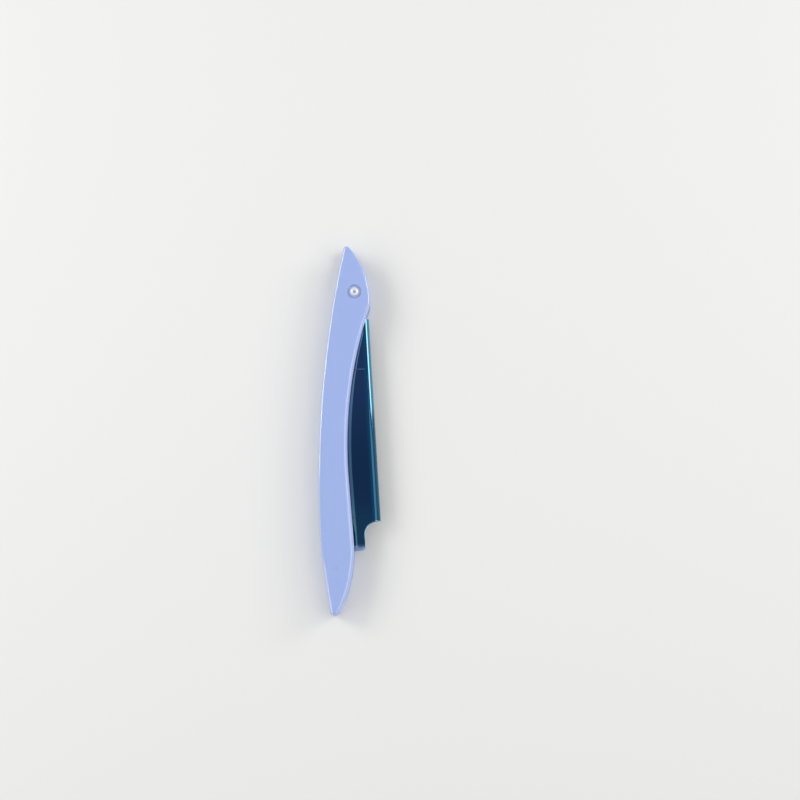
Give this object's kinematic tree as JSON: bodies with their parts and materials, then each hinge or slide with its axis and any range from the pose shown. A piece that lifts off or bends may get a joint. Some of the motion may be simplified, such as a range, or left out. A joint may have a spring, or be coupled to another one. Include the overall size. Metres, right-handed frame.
{
  "type": "folding eyebrow razor",
  "caption": "Folding eyebrow razor with a crescent two-shell handle, a folded mirror-blue steel blade carrier on a rivet, and a slide-in single-edge blade.",
  "frame": {"origin": "under the middle of the closed razor's outline, on the rear shell's flat face, where it rests", "axes": "+Y along the handle towards the pivot end, +X towards the open side that the carrier swings out of, +Z out of the front shell"},
  "size_m": [0.023, 0.137, 0.0114],
  "materials": {
    "handle_plastic": "moulded, satin gloss",
    "nickel": "nickel plated",
    "nylon": "stamped from sheet",
    "bar_steel": "milled and tumbled",
    "blue_mirror_steel": "polished and coated blue",
    "blade_steel": "rolled strip, ground edge"
  },
  "bodies": {
    "handle": {"front_scale": "handle_plastic", "rear_scale": "handle_plastic", "pivot_rivet": "nickel", "front_collar": "nickel", "rear_collar": "nickel", "front_friction_washer": "nylon", "rear_friction_washer": "nylon"},
    "carrier": {"tang": "bar_steel", "carrier_shell": "blue_mirror_steel", "blade_stop": "bar_steel"},
    "blade": {"blade": "blade_steel"}
  },
  "joints": [
    {"name": "carrier_fold", "type": "hinge", "parent": "handle", "child": "carrier", "pos_m": [0.00157, 0.05109, 0.0055], "axis": [0, 0, 1], "range_deg": [0, 190]},
    {"name": "blade_slide", "type": "slide", "parent": "carrier", "child": "blade", "axis": [0.061, -0.9981, 0], "range_m": [0, 0.068]}
  ]
}
